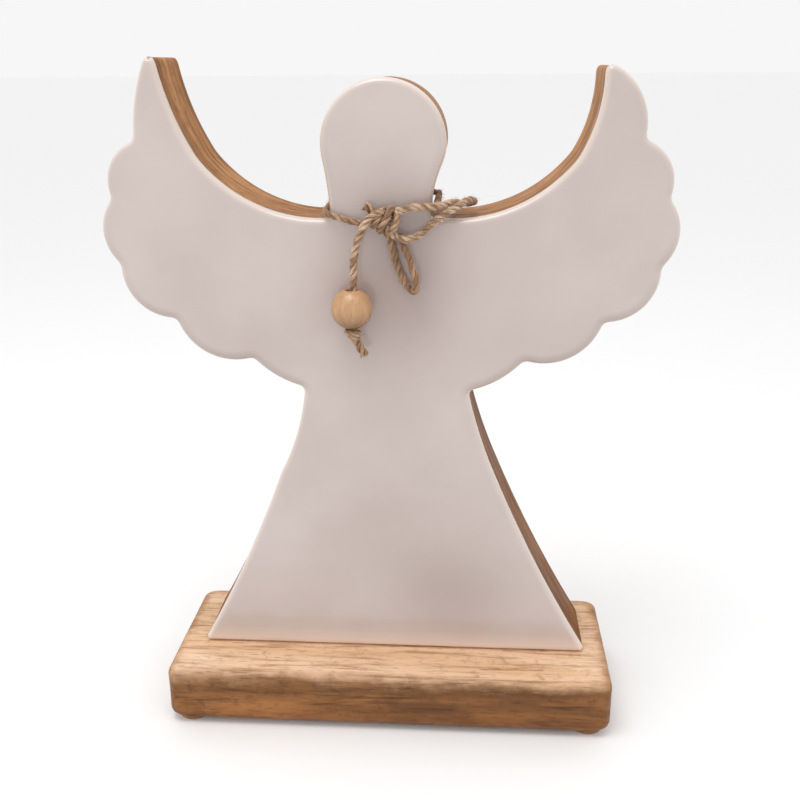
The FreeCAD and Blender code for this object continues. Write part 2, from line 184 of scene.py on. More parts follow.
def jute_finish(name, dull, bright):
    """Tan bast fibre: pale on the crowns of the plies, streaked along the ply, with painted shade
    turning the grooves between the plies brown.
    """
    finish = Finish(name, Roughness=0.86, Specular_IOR_Level=0.25, Sheen_Weight=0.25)
    space = finish.attribute("ply_space", "Vector")
    streaks = finish.clouds(finish.stretched((3600, 3600, 700), space), 1, 4, 0.7)
    patches = finish.clouds(finish.stretched((300, 300, 160), space), 1, 2, 0.5)
    crown = finish.ranged(finish.attribute("ply_crown"), 0.48, 1.0)
    fibre = finish.mix(finish.attribute("ply_tone"), dull, bright)
    # painted shade: the grooves between the plies darken towards a deep brown
    colour = finish.mix(crown, paint(84, 54, 34), fibre)
    colour = finish.mix(finish.ranged(streaks, 0.62, 0.34, 0, 0.75), colour, paint(112, 76, 48))
    colour = finish.mix(finish.ranged(patches, 0.42, 0.64, 0, 0.75), colour, paint(122, 86, 60))
    finish.set("Base Color", colour)
    finish.set("Normal", finish.bump(streaks, 0.12 * MM, 0.9))
    return finish.material


JUTE = jute_finish("jute", paint(208, 170, 134), paint(246, 218, 190))
# A darker copy of the jute, as painted shade, for the knot, the lower loop, the neck tie and the tail's
# ends.
SHADED_JUTE = jute_finish("jute_painted_shade", paint(168, 130, 98), paint(214, 178, 146))


# ---------------------------------------------------------------- twine

TWINE = 2.6 * MM
KNOTTED_TWINE = 2.4 * MM
TAUT_TWINE = 2.2 * MM
PLIES = 3
PLY_TURN = 8.8 * MM
PLY_RADIUS = 0.31 * TWINE
PLY_OFFSET = 0.225 * TWINE
RING_STEP = 0.35 * MM
PLY_SIDES = 12
HAIR_RADIUS = 0.045 * MM
HAIR_POINTS = 6
FRAYED_HAIRS = 26
NECK_AXIS = Vector((-0.0015, 0.008, 0))
BOW_KNOT = np.array([0.0005, -0.0142, 0.1987])
END_KNOT = np.array([-0.0112, -0.0178, 0.1580])

# The routes that the twine's lengths follow; each smooth line is pulled towards these points.
NECK_TIE = [
    (-0.0015, -0.0129, 0.1974),
    (-0.0066, -0.0120, 0.1967),
    (-0.0120, -0.0119, 0.1974),
    (-0.0160, -0.0120, 0.1987),
    (-0.0192, -0.0123, 0.1997),
    (-0.0214, -0.0099, 0.2003),
    (-0.0218, -0.0052, 0.2006),
    (-0.0215, 0.0028, 0.2011),
    (-0.0218, 0.0106, 0.2012),
    (-0.0220, 0.0180, 0.2018),
    (-0.0220, 0.0228, 0.2020),
    (-0.0196, 0.0253, 0.2022),
    (-0.0152, 0.0254, 0.2024),
    (-0.0082, 0.0251, 0.2026),
    (-0.0006, 0.0255, 0.2026),
    (0.0064, 0.0252, 0.2030),
    (0.0116, 0.0254, 0.2031),
    (0.0156, 0.0253, 0.2032),
    (0.0179, 0.0228, 0.2034),
    (0.0181, 0.0178, 0.2036),
    (0.0180, 0.0109, 0.2030),
    (0.0181, 0.0036, 0.2031),
    (0.0180, -0.0034, 0.2031),
    (0.0182, -0.0096, 0.2028),
    (0.0156, -0.0124, 0.2029),
    (0.0112, -0.0121, 0.2028),
    (0.0065, -0.0123, 0.2018),
    (0.0018, -0.0130, 0.2002),
]
BOW_LOOP_RIGHT = [
    (0.0006, -0.0154, 0.1968),
    (0.0026, -0.0159, 0.1934),
    (0.0072, -0.0157, 0.1914),
    (0.0122, -0.0148, 0.1930),
    (0.0168, -0.0140, 0.1974),
    (0.0214, -0.0134, 0.2006),
    (0.0260, -0.0098, 0.2028),
    (0.0289, -0.0044, 0.2040),
    (0.0309, 0.0007, 0.2032),
    (0.0312, 0.0053, 0.2021),
    (0.0280, 0.0073, 0.2013),
    (0.0248, 0.0057, 0.2015),
    (0.0241, -0.0012, 0.2026),
    (0.0228, -0.0076, 0.2035),
    (0.0204, -0.0126, 0.2033),
    (0.0158, -0.0154, 0.2030),
    (0.0096, -0.0156, 0.2033),
    (0.0040, -0.0154, 0.2012),
]
BOW_LOOP_LOWER = [
    (-0.0004, -0.0127, 0.1962),
    (0.0017, -0.0124, 0.1920),
    (0.0029, -0.0121, 0.1872),
    (0.0039, -0.0120, 0.1824),
    (0.0055, -0.0120, 0.1782),
    (0.0074, -0.0122, 0.1747),
    (0.0098, -0.0139, 0.1728),
    (0.0113, -0.0170, 0.1742),
    (0.0109, -0.0178, 0.1786),
    (0.0093, -0.0162, 0.1832),
    (0.0074, -0.0142, 0.1880),
    (0.0046, -0.0126, 0.1930),
]
SHORT_END = [
    (-0.0010, -0.0136, 0.1998),
    (-0.0040, -0.0136, 0.2012),
    (-0.0070, -0.0138, 0.2033),
]
TAIL = [
    (-0.0002, -0.0166, 0.2016),
    (-0.0034, -0.0174, 0.2010),
    (-0.0065, -0.0178, 0.1979),
    (-0.0087, -0.0179, 0.1934),
    (-0.0102, -0.0179, 0.1882),
    (-0.0111, -0.0178, 0.1824),
    (-0.0111, -0.0178, 0.1582),
]
FRAYED_END = [
    (-0.0111, -0.0176, 0.1576),
    (-0.0099, -0.0168, 0.1536),
    (-0.0077, -0.0162, 0.1498),
]


def smooth_line(route):
    """Points along the smooth line of a route, which has the route's points as control points."""
    curve = bpy.data.curves.new("guide", "CURVE")
    curve.dimensions = "3D"
    curve.resolution_u = 24
    spline = curve.splines.new("NURBS")
    spline.points.add(len(route) - 1)
    for point, place in zip(spline.points, route):
        point.co = (*place, 1)
    spline.order_u = 3
    spline.use_endpoint_u = True
    guide = bpy.data.objects.new("guide", curve)
    mesh = bpy.data.meshes.new_from_object(guide)
    line = np.array([vertex.co for vertex in mesh.vertices])
    bpy.data.objects.remove(guide)
    bpy.data.curves.remove(curve)
    bpy.data.meshes.remove(mesh)
    return line


def run_along(line):
    """How far along the line each of its points lies."""
    return np.concatenate([[0], np.cumsum(np.linalg.norm(np.diff(line, axis=0), axis=1))])


def evenly(line, step):
    """The same line, with its points an even step apart."""
    run = run_along(line)
    at = np.linspace(0, run[-1], max(3, round(run[-1] / step) + 1))
    return np.stack([np.interp(at, run, line[:, axis]) for axis in range(3)], axis=1)


def length_of(line):
    """The length of a line of points."""
    return float(np.linalg.norm(np.diff(line, axis=0), axis=1).sum())


def across(line):
    """Two directions square to the line at each point, which turn as little as they can."""
    along = np.gradient(line, axis=0)
    along /= np.linalg.norm(along, axis=1)[:, None]
    side = np.cross(along[0], (0.31, 0.52, 0.79))
    sides = []
    for direction in along:
        side = side - direction * side.dot(direction)
        side /= np.linalg.norm(side)
        sides.append(side)
    sides = np.array(sides)
    return sides, np.cross(along, sides)


class Fibres:
    """Tubes of fibre gathered into one mesh, with what the jute material reads at each point."""

    def __init__(self, seed):
        self.random = random.Random(seed)
        self.places, self.faces, self.space, self.crown, self.tone = [], [], [], [], []
        self.count = 0

    def tube(self, centres, radii, sides, heights, tone, crown):
        """One closed tube; radii has a row for each ring, and crown how far out each point lies."""
        rings, around = radii.shape
        angle = np.linspace(0, 2 * np.pi, around, endpoint=False)
        cosine, sine = np.cos(angle), np.sin(angle)
        spokes = cosine[:, None] * sides[:, None] + sine[:, None] * heights[:, None]
        walls = centres[:, None] + radii[:, :, None] * spokes
        run = run_along(centres)
        along = np.repeat(run[:, None], around, axis=1)
        space = np.stack([radii * cosine, radii * sine, along], axis=2)
        space[:, :, :2] += tone
        end_space = [(tone, tone, 0), (tone, tone, run[-1])]
        first = self.count
        self.places.append(np.concatenate([walls.reshape(-1, 3), centres[[0, -1]]]))
        self.space.append(np.concatenate([space.reshape(-1, 3), end_space]))
        self.crown.append(np.concatenate([crown.reshape(-1), [0.35, 0.35]]))
        self.tone.append(np.full(rings * around + 2, tone))
        for ring in range(rings - 1):
            for spoke in range(around):
                after = (spoke + 1) % around
                here, there = first + ring * around, first + (ring + 1) * around
                self.faces.append((here + spoke, here + after, there + after, there + spoke))
        start, end = first + rings * around, first + rings * around + 1
        last = first + (rings - 1) * around
        for spoke in range(around):
            after = (spoke + 1) % around
            self.faces.append((start, first + after, first + spoke))
            self.faces.append((end, last + spoke, last + after))
        self.count += rings * around + 2

    def hair(self, root, outward, forward, length):
        """One stray fibre that leaves the twine and curls."""
        bend = Vector([self.random.uniform(-1, 1) for _ in range(3)])
        steps = np.linspace(0, 1, HAIR_POINTS)[:, None]
        line = (
            np.array(root)
            + np.array(outward) * length * 0.62 * steps
            + np.array(forward) * length * 0.75 * steps
            + np.array(bend) * length * 0.22 * steps**2
        )
        sides, heights = across(line)
        radii = HAIR_RADIUS * np.linspace(1.0, 0.35, HAIR_POINTS)[:, None] * np.ones((1, 3))
        tone = self.random.uniform(0.4, 1.0)
        self.tube(line, radii, sides, heights, tone, np.full((HAIR_POINTS, 3), 0.9))

    def strand(self, line, thickness=TWINE, opening=None, hairs_each_mm=5.0, start_angle=0.0):
        """Twisted plies along a line. opening, one value a point, says how far the plies part."""
        line = evenly(line, RING_STEP)
        count = len(line)
        sides, heights = across(line)
        run = np.linspace(0, length_of(line), count)
        part = np.ones(count) if opening is None else np.interp(np.linspace(0, 1, count), *opening)
        size = thickness / TWINE
        drift = np.array([noise.noise(Vector((s * 140, 4.7, start_angle))) for s in run])
        for ply in range(PLIES):
            turn = start_angle + 2 * np.pi * (run / PLY_TURN + ply / PLIES) + 0.5 * drift
            wander = np.array([noise.noise(Vector((s * 260, ply * 9.1, start_angle))) for s in run])
            offset = PLY_OFFSET * size * part * (1 + 0.16 * wander)
            out = np.cos(turn)[:, None] * sides + np.sin(turn)[:, None] * heights
            beside = -np.sin(turn)[:, None] * sides + np.cos(turn)[:, None] * heights
            centres = line + offset[:, None] * out
            angle = np.linspace(0, 2 * np.pi, PLY_SIDES, endpoint=False)
            spots = [(3 * math.cos(a), 3 * math.sin(a) + 7 * ply) for a in angle]
            ridges = np.array([[noise.noise(Vector((*spot, s * 420))) for spot in spots] for s in run])
            radii = PLY_RADIUS * size * (1 + 0.24 * ridges + 0.16 * wander[:, None])
            away = offset[:, None] + radii * np.cos(angle)[None]
            crown = np.hypot(away, radii * np.sin(angle)[None]) / (thickness / 2)
            tone = self.random.uniform(0.15, 0.85)
            self.tube(centres, radii, out, beside, tone, crown)
        forward = np.gradient(line, axis=0)
        forward /= np.linalg.norm(forward, axis=1)[:, None]
        for _ in range(round(run[-1] / MM * hairs_each_mm)):
            at = self.random.randrange(1, count - 1)
            angle = self.random.uniform(0, 2 * math.pi)
            outward = Vector(math.cos(angle) * sides[at] + math.sin(angle) * heights[at])
            clear = Vector(line[at]) - NECK_AXIS
            clear.z = 0
            root = Vector(line[at]) + outward * thickness * 0.40
            if outward.dot(clear.normalized()) > -0.2:
                self.hair(root, outward, Vector(forward[at]), self.random.uniform(0.8, 2.6) * MM)
        return line

    def piece(self, name, material):
        """The mesh object of everything gathered so far."""
        mesh = bpy.data.meshes.new(name)
        mesh.from_pydata(np.concatenate(self.places).tolist(), [], self.faces)
        for label, kind, values, field in (
            ("ply_space", "FLOAT_VECTOR", self.space, "vector"),
            ("ply_crown", "FLOAT", self.crown, "value"),
            ("ply_tone", "FLOAT", self.tone, "value"),
        ):
            layer = mesh.attributes.new(label, kind, "POINT")
            layer.data.foreach_set(field, np.concatenate(values).astype(np.float32).ravel())
        mesh.polygons.foreach_set("use_smooth", [True] * len(mesh.polygons))
        mesh.materials.append(material)
        made = bpy.data.objects.new(name, mesh)
        bpy.context.collection.objects.link(made)
        return made


def twine_cord(name, route, seed, nodes, body="root", thickness=TWINE, material=JUTE, **facts):
    """A length of twine along a route, in place of its CAD tubes."""
    line = smooth_line(route)
    fibres = Fibres(seed)
    path = fibres.strand(line, thickness)
    made = fibres.piece(name, material)
    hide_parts(*nodes)
    if body:
        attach(made, body)
    facts = {"stiffness": "limp", "diameter": thickness, **facts}
    return made


twine_cord(
    "neck_twine",
    NECK_TIE,
    11,
    ["neck_tie"],
    thickness=TAUT_TWINE,
    material=SHADED_JUTE,
    lay="taut",
    far_end="object",
)
twine_cord("right_bow_loop", BOW_LOOP_RIGHT, 12, ["bow_loop_right"], lay="loose", far_end="object")
twine_cord(
    "lower_bow_loop",
    BOW_LOOP_LOWER,
    13,
    ["bow_loop_lower"],
    material=SHADED_JUTE,
    lay="hanging",
    far_end="object",
)


# The wraps of the bow knot, in millimetres from its middle.
WRAPS = [
    [
        (-1.9, 1.8, -3.6),
        (-2.2, -1.4, -4.2),
        (-1.4, -3.4, -2.4),
        (0.2, -4.1, 0.2),
        (1.5, -3.3, 2.9),
        (2.0, -0.8, 4.3),
        (1.9, 1.7, 2.8),
    ],
    [
        (0.8, 1.9, -4.2),
        (1.0, -1.2, -4.9),
        (2.4, -3.3, -3.6),
        (3.9, -3.4, -1.0),
        (4.3, -2.2, 1.6),
        (3.6, 0.3, 2.9),
        (2.6, 1.9, 1.6),
    ],
    [
        (-4.4, 1.6, -1.6),
        (-4.6, -1.0, -2.8),
        (-3.7, -2.9, -1.2),
        (-2.0, -3.2, 1.2),
        (-0.8, -1.6, 3.3),
        (-0.9, 1.2, 3.0),
    ],
    [
        (-3.4, 0.8, -1.0),
        (-1.6, 0.3, -0.8),
        (0.4, -0.6, 0.2),
        (2.2, -0.6, 0.2),
        (3.6, 0.2, -0.4),
    ],
]


def line_about(middle, places):
    """The smooth line of places given in millimetres from a middle."""
    return smooth_line([tuple(middle + np.array(place) * MM) for place in places])


def bow_knot():
    """The wraps that gather the two loops, the tail and the short end."""
    fibres = Fibres(21)
    for number, wrap in enumerate(WRAPS):
        line = line_about(BOW_KNOT, wrap)
        fibres.strand(line, thickness=KNOTTED_TWINE, start_angle=number * 1.7, hairs_each_mm=1.5)
    made = fibres.piece("bow_knot_wraps", SHADED_JUTE)
    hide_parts("bow_knot")
    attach(made, "root")


def short_end():
    """The cut end of the twine that sticks up beside the knot, its plies parting."""
    fibres = Fibres(22)
    fibres.strand(smooth_line(SHORT_END), opening=((0, 0.6, 1), (1, 1.1, 1.7)), hairs_each_mm=1.6)
    made = fibres.piece("short_twine_end", SHADED_JUTE)
    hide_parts("short_end")
    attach(made, "root")


def end_knot():
    """The overhand knot that holds the bead on the tail."""
    fibres = Fibres(23)
    turns, steps = 2.1, 17
    coil = []
    for step in range(steps + 1):
        share = step / steps
        angle = 2 * math.pi * turns * share + 2.2
        reach = 2.5 - 1.45 * share
        x = reach * math.cos(angle) + 0.3 * share
        y = 0.9 * reach * math.sin(angle)
        coil.append((x, y, 1.3 - 3.1 * share))
    fibres.strand(line_about(END_KNOT, coil), thickness=TAUT_TWINE, hairs_each_mm=2.5)
    fibres.strand(line_about(END_KNOT, [(0, 0, 2.1), (0.1, 0, 0), (0.3, 0.1, -2.0)]))
    made = fibres.piece("tail_end_knot", SHADED_JUTE)
    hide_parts("end_knot")
    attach(made, "tail")
    return made


def frayed_end():
    """The loose end below the knot, where the plies come apart into fibres."""
    fibres = Fibres(24)
    line = smooth_line(FRAYED_END)
    path = fibres.strand(line, opening=((0, 0.5, 1), (1, 1.1, 1.9)), hairs_each_mm=2.0)
    tip, forward = Vector(path[-1]), Vector(path[-1] - path[-4]).normalized()
    for _ in range(FRAYED_HAIRS):
        spread = Vector([fibres.random.uniform(-1, 1) for _ in range(3)])
        root = tip + spread * 0.9 * MM - forward * 1.2 * MM
        fibres.hair(root, spread * 0.5, forward, fibres.random.uniform(1.2, 2.8) * MM)
    made = fibres.piece("tail_frayed_end", SHADED_JUTE)
    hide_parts("frayed_end")
    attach(made, "tail")
    return made


def bead_finish():
    """Pale turned hardwood with a satin surface, with painted shade darkening it towards the knot below.
    """
    finish = Finish("bead_wood", Roughness=0.4, Specular_IOR_Level=0.6)
    grain = finish.stretched((420, 420, 90))
    rings = finish.clouds(grain, 1, 4, 0.55, 0.6)
    flecks = finish.clouds(finish.stretched((1500, 1500, 160)), 1, 2, 0.5)
    colour = finish.mix(finish.ranged(rings, 0.35, 0.68), paint(194, 152, 111), paint(181, 138, 97))
    colour = finish.mix(finish.ranged(flecks, 0.56, 0.72, 0, 0.5), colour, paint(160, 112, 72))
    painted_underside_shade = finish.attribute("painted_underside_shade")
    # painted shade: darker towards the bottom of the bead
    finish.set("Base Color", finish.mix(painted_underside_shade, colour, paint(84, 54, 38)))
    finish.set("Roughness", finish.ranged(flecks, 0.3, 0.8, 0.22, 0.36))
    finish.set("Normal", finish.bump(flecks, 0.03 * MM, 0.6))
    return finish.material


def wood_bead():
    """A turned bead: a ball whose poles are drilled, with the drill's rim rounded over."""
    low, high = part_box("wood_bead")
    middle = (low + high) / 2
    radius = (high.x - low.x) / 2
    bore, rim, rings, around = 2.2 * MM, 0.45 * MM, 44, 72
    first = math.asin((bore + rim) / radius)
    profile = []
    for step in range(rings + 1):
        angle = first + (math.pi - 2 * first) * step / rings
        profile.append((radius * math.sin(angle), radius * math.cos(angle)))
    top = profile[0][1]
    for degrees in (60, 35, 10):
        angle = math.radians(degrees)
        inward = (bore + rim * (1 - math.cos(angle)), top - rim * (1 - math.sin(angle)))
        profile.insert(0, inward)
        profile.append((inward[0], -inward[1]))
    places, faces = [], []
    for reach, height in profile:
        for step in range(around):
            angle = 2 * math.pi * step / around
            x, y = math.cos(angle), math.sin(angle)
            wobble = 1 + 0.004 * noise.noise(Vector((x, y, height * 150)) * 1.3)
            out = reach * wobble
            places.append((middle.x + out * x, middle.y + out * y, middle.z + height))
    rows = len(profile)
    for row in range(rows):
        below = (row + 1) % rows
        for step in range(around):
            after = (step + 1) % around
            here, there = row * around, below * around
            faces.append((here + step, there + step, there + after, here + after))
    made = mesh_piece("bead", places, faces, bead_finish())
    # painted shade, growing towards the bead's lower pole
    underside_shades = [0.85 * clamped((middle.z - z) / radius) ** 1.1 for _, _, z in places]
    add_values(made, "painted_underside_shade", underside_shades)
    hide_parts("wood_bead")
    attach(made, "bead")
    return made


def mesh_piece(name, places, faces, material):
    """A smooth-shaded mesh object."""
    mesh = bpy.data.meshes.new(name)
    mesh.from_pydata([tuple(place) for place in places], [], faces)
    mesh.polygons.foreach_set("use_smooth", [True] * len(mesh.polygons))
    mesh.materials.append(material)
    made = bpy.data.objects.new(name, mesh)
    bpy.context.collection.objects.link(made)
    return made


def add_values(piece, name, values):
    """A value for each point of a piece, which its material reads by name."""
    layer = piece.data.attributes.new(name, "FLOAT", "POINT")
    layer.data.foreach_set("value", np.asarray(values, np.float32))


bow_knot()
short_end()
tail = twine_cord(
    "twine_tail",
    TAIL,
    14,
    ["tail_root", "tail_drop"],
    body=None,
    lay="hanging",
    far_end="knot",
    with_pieces=[wood_bead(), end_knot(), frayed_end()],
)
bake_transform(tail)


# ---------------------------------------------------------------- enamel and board


def outline_of(node, level):
    """The closed outline of a node's flat face at y = level, as points in x and z."""
    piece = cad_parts[node]
    places = np.array([piece.matrix_world @ vertex.co for vertex in piece.data.vertices])
    keys = [tuple(np.round(place, 6)) for place in places]
    piece.data.calc_loop_triangles()
    edges = {}
    for triangle in piece.data.loop_triangles:
        corners = triangle.vertices
        if any(abs(places[corner][1] - level) > 0.02 * MM for corner in corners):
            continue
        for here, there in zip(corners, (*corners[1:], corners[0])):
            edges[(keys[here], keys[there])] = edges.get((keys[here], keys[there]), 0) + 1
    after = {here: there for here, there in edges if (there, here) not in edges}
    loop = [max(after, key=lambda place: place[2])]
    while after[loop[-1]] != loop[0]:
        loop.append(after[loop[-1]])
    return np.array([(place[0], place[2]) for place in loop])


def round_trip(outline, step):
    """The same closed outline, with points an even step apart."""
    closed = np.concatenate([outline, outline[:1]])
    points = evenly(np.column_stack([closed[:, 0], closed[:, 1], np.zeros(len(closed))]), step)
    return points[:-1, :2]


def outward(outline):
    """The direction out of the outline at each point."""
    ahead = np.roll(outline, -1, axis=0) - np.roll(outline, 1, axis=0)
    ahead /= np.linalg.norm(ahead, axis=1)[:, None]
    x, z = outline[:, 0], outline[:, 1]
    turn = np.sign((x * np.roll(z, -1) - np.roll(x, -1) * z).sum())
    return np.stack([ahead[:, 1], -ahead[:, 0]], axis=1) * turn


def distance_inside(points, outline):
    """How far each point is from the outline."""
    start, end = outline, np.roll(outline, -1, axis=0)
    span = end - start
    nearest = np.full(len(points), 1e9)
    for begin in range(0, len(points), 400):
        some = points[begin : begin + 400, None]
        share = np.clip(((some - start) * span).sum(2) / (span**2).sum(1), 0, 1)
        gap = np.linalg.norm(some - start - share[..., None] * span, axis=2).min(1)
        nearest[begin : begin + 400] = gap
    return nearest


def is_inside(points, outline):
    """Which points lie inside the closed outline."""
    inside = np.zeros(len(points), bool)
    start, end = outline, np.roll(outline, -1, axis=0)
    for (x1, z1), (x2, z2) in zip(start, end):
        crosses = (z1 > points[:, 1]) != (z2 > points[:, 1])
        if z1 != z2:
            crosses &= points[:, 0] < (x2 - x1) * (points[:, 1] - z1) / (z2 - z1) + x1
        inside ^= crosses
    return inside


def filled(outline, inner):
    """Triangles that fill the outline and use every inner point; the outline's points come first."""
    points = [Vector(place) for place in np.concatenate([outline, inner])]
    edges = [(step, (step + 1) % len(outline)) for step in range(len(outline))]
    made = geometry.delaunay_2d_cdt(points, edges, [], 0, 1e-7, True)
    places = np.array([tuple(place) for place in made[0]])
    faces = np.array([tuple(made[3][corner][0] for corner in face) for face in made[2]])
    middles = places[np.array([tuple(face) for face in made[2]])].mean(axis=1)
    return np.concatenate([outline, inner]), faces[is_inside(middles, outline)].tolist()


ENAMEL_RIM = 2.0 * MM
ENAMEL_RINGS = [0.05 * MM, 0.18 * MM, 0.4 * MM, 0.7 * MM, 1.1 * MM, 1.6 * MM, 2.5 * MM, 4.0 * MM]
ENAMEL_STANDS_OUT = 0.25 * MM
ENAMEL_LAPS_WOOD = 0.75 * MM
OUTLINE_STEP = 1.0 * MM
GRID_STEP = 3.0 * MM
# How dark the painted shade on the downward-facing rolled edges is, and how far in from the rim it
# reaches.
RIM_SHADE_SHARE = 0.6
RIM_SHADE_REACH = 4.0 * MM
HEM_LIGHT_REACH = 5 * MM

# The heights above the hem between which the skirt's curve is read, and how near to the corner that
# the curve leads to the rounded points are dropped.
SKIRT_FROM = 5 * MM
SKIRT_TO = 55 * MM
CORNER_REACH = 4.5 * MM


def softened(outline, passes):
    """The outline with each point drawn towards its neighbours."""
    for _ in range(passes):
        outline = 0.5 * outline + 0.25 * (np.roll(outline, 1, axis=0) + np.roll(outline, -1, axis=0))
    return outline


def with_square_hem(outline):
    """The outline with its two lower corners brought to a point, by following the curve of the skirt."""
    hem = outline[:, 1].min()
    kept = outline
    for side in (-1, 1):
        skirt = (outline[:, 1] > hem + SKIRT_FROM) & (outline[:, 1] < hem + SKIRT_TO)
        skirt &= outline[:, 0] * side > 0
        bend = np.polyfit(outline[skirt, 1], outline[skirt, 0], 2)
        corner = np.array([np.polyval(bend, hem), hem])
        near = np.linalg.norm(kept - corner, axis=1) < CORNER_REACH
        first = int(np.flatnonzero(near & ~np.roll(near, 1))[0])
        kept = np.roll(kept, -first, axis=0)
        near = np.roll(near, -first)
        kept = np.concatenate([[corner], kept[~near]])
    return kept


def grid_inside(outline, step, clear):
    """Staggered points inside the outline, at least clear away from it."""
    low, high = outline.min(axis=0), outline.max(axis=0)
    rows = np.arange(low[1], high[1], step * 0.866)
    points = []
    for row, height in enumerate(rows):
        first = low[0] + (row % 2) * step / 2
        points += [(x, height) for x in np.arange(first, high[0], step)]
    points = np.array(points)
    points = points[is_inside(points, outline)]
    return points[distance_inside(points, outline) > clear]


def swell(place, *waves):
    """Soft irregularity: noise at several sizes, each (wavelength, height)."""
    total = 0.0
    for number, (length, height) in enumerate(waves):
        total += height * noise.noise(Vector(place) / length + Vector((number * 7.3, 0, 0)))
    return total


def enamel_finish():
    """Thick white enamel with a warm cast, creamier where it thins over the rim, with a few specks."""
    finish = Finish("white_enamel", Specular_IOR_Level=0.5, Coat_Weight=0.6, Coat_Roughness=0.10)
    rim = finish.attribute("rim_distance")
    drift = finish.clouds(finish.place, 28, 3, 0.5)
    specks = finish.clouds(finish.place, 900, 1, 0.4)
    dust = finish.clouds(finish.place, 300, 2, 0.5)
    colour = finish.mix(finish.ranged(drift, 0.3, 0.7), paint(201, 187, 182), paint(193, 178, 172))
    # painted shade: darker patches below the bow and on the skirt
    colour = finish.mix(finish.attribute("painted_shade_patch"), colour, paint(163, 144, 138))
    # painted light: a lighter band along the hem, where light bounces up from the block
    colour = finish.mix(finish.attribute("painted_hem_light"), colour, paint(240, 220, 206))
    cream = finish.ranged(rim, -0.2, 2.2, 0.45, 0.0)
    colour = finish.mix(cream, colour, paint(242, 224, 206))
    thin = finish.ranged(rim, -1.0, -0.45, 0.8, 0.0)
    colour = finish.mix(thin, colour, paint(204, 166, 128))
    # painted shade on the rolled edges that face down
    colour = finish.mix(finish.attribute("painted_rim_shade"), colour, paint(136, 116, 106))
    colour = finish.mix(finish.ranged(specks, 0.80, 0.86, 0, 0.35), colour, paint(150, 130, 118))
    finish.set("Base Color", colour)
    finish.set("Roughness", finish.ranged(dust, 0.3, 0.75, 0.14, 0.24))
    finish.set("Normal", finish.bump(drift, 0.25 * MM, 0.5, finish.bump(dust, 0.01 * MM, 0.5)))
    return finish.material


# Painted shade on the enamel, darker patches below the bow and on the skirt: x, z, reach along each, and
# how much.
SHADE_PATCHES = (
    (0.004, 0.176, 0.022, 0.032, 0.88),
    (0.024, 0.052, 0.030, 0.020, 0.62),
    (-0.004, 0.084, 0.022, 0.024, 0.22),
    (-0.050, 0.150, 0.030, 0.016, 0.12),
    (0.050, 0.150, 0.034, 0.018, 0.20),
)


def painted_shade_at(x, z):
    """How dark the painted shade patches are at a place, from 0 to 1, each fading out from its middle.
    """
    shares = [
        share * math.exp(-(((x - at_x) / reach_x) ** 2) - ((z - at_z) / reach_z) ** 2)
        for at_x, at_z, reach_x, reach_z, share in SHADE_PATCHES
    ]
    return min(1.0, sum(shares))


def enamel(outline, front, back):
    """The poured coat: a swelling face that rolls over the rim and laps a little way down the side."""
    normals = outward(outline)
    rings = []
    for inset in ENAMEL_RINGS:
        ring = outline - normals * inset
        clear = distance_inside(ring, outline) > 0.97 * inset
        rings.append(ring[clear & is_inside(ring, outline)])
    rings.append(grid_inside(outline, GRID_STEP, ENAMEL_RINGS[-1] + 0.4 * GRID_STEP))
    flat, faces = filled(outline, np.concatenate(rings))
    inset = distance_inside(flat, outline)
    rolled = (1 - (1 - np.clip(inset / ENAMEL_RIM, 0, 1)) ** 2.2) ** (1 / 2.2)
    places = []
    for (x, z), rise in zip(flat, rolled):
        dip = 0.16 * MM + swell((x, 0, z), (34 * MM, 0.13 * MM), (13 * MM, 0.05 * MM))
        places.append((x, back + (front - back + max(dip, 0)) * rise, z))
    rim_distance = list(inset / MM)
    # painted shade along the rolled edges that face down, fading inwards from the rim
    nearest = np.argmin(((flat[:, None] - outline[None]) ** 2).sum(axis=2), axis=1)
    faces_down = np.clip(-normals[:, 1], 0, 1) * (outline[:, 1] > outline[:, 1].min() + 2 * MM)
    painted_rim_shade = list(RIM_SHADE_SHARE * faces_down[nearest] * np.clip(1 - inset / RIM_SHADE_REACH, 0, 1))
    count = len(flat)
    number = len(outline)
    waves = (16 * MM, 0.5 * MM), (5 * MM, 0.25 * MM)
    lap = [ENAMEL_LAPS_WOOD + swell((x, 9 * MM, z), *waves) for x, z in outline]
    for depth, sink, value in ((0.5, 0.0, -0.2), (1.0, 0.10, -0.9), (0.9, 1.0, -1.0)):
        ring = outline - normals * ENAMEL_STANDS_OUT * sink
        places += [(x, back + depth * fall, z) for (x, z), fall in zip(ring, lap)]
        rim_distance += [value] * number
        painted_rim_shade += list(RIM_SHADE_SHARE * faces_down)
    under, cap = filled(outline - normals * ENAMEL_STANDS_OUT, np.zeros((0, 2)))
    places += [(x, back, z) for x, z in under]
    rim_distance += [-1.0] * number
    painted_rim_shade += [0.0] * number
    starts = [0] + [count + number * row for row in range(4)]
    rows = [list(range(start, start + number)) for start in starts]
    faces = [tuple(face) for face in faces]
    for upper, lower in zip(rows, rows[1:]):
        for step in range(number):
            after = (step + 1) % number
            faces.append((upper[after], upper[step], lower[step], lower[after]))
    faces += [tuple(rows[-1][corner] for corner in reversed(face)) for face in cap]
    made = mesh_piece("enamel_coat", places, faces, enamel_finish())
    add_values(made, "rim_distance", rim_distance)
    add_values(made, "painted_rim_shade", painted_rim_shade)
    add_values(made, "painted_shade_patch", [painted_shade_at(x, z) for x, _, z in places])
    # painted light, fading upwards from the hem
    hem = outline[:, 1].min()
    painted_hem_light = [0.8 * math.exp(-(((z - hem) / HEM_LIGHT_REACH) ** 2)) for _, _, z in places]
    add_values(made, "painted_hem_light", painted_hem_light)
    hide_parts("enamel_face")
    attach(made, "root")


EDGE_STEPS = 4


def drawn_in(outline, inset):
    """The outline moved inwards, its corners rounding as it goes."""
    normals = softened(outward(outline), 16)
    normals /= np.linalg.norm(normals, axis=1)[:, None]
    return softened(outline - normals * inset, round(inset / (0.12 * MM)))


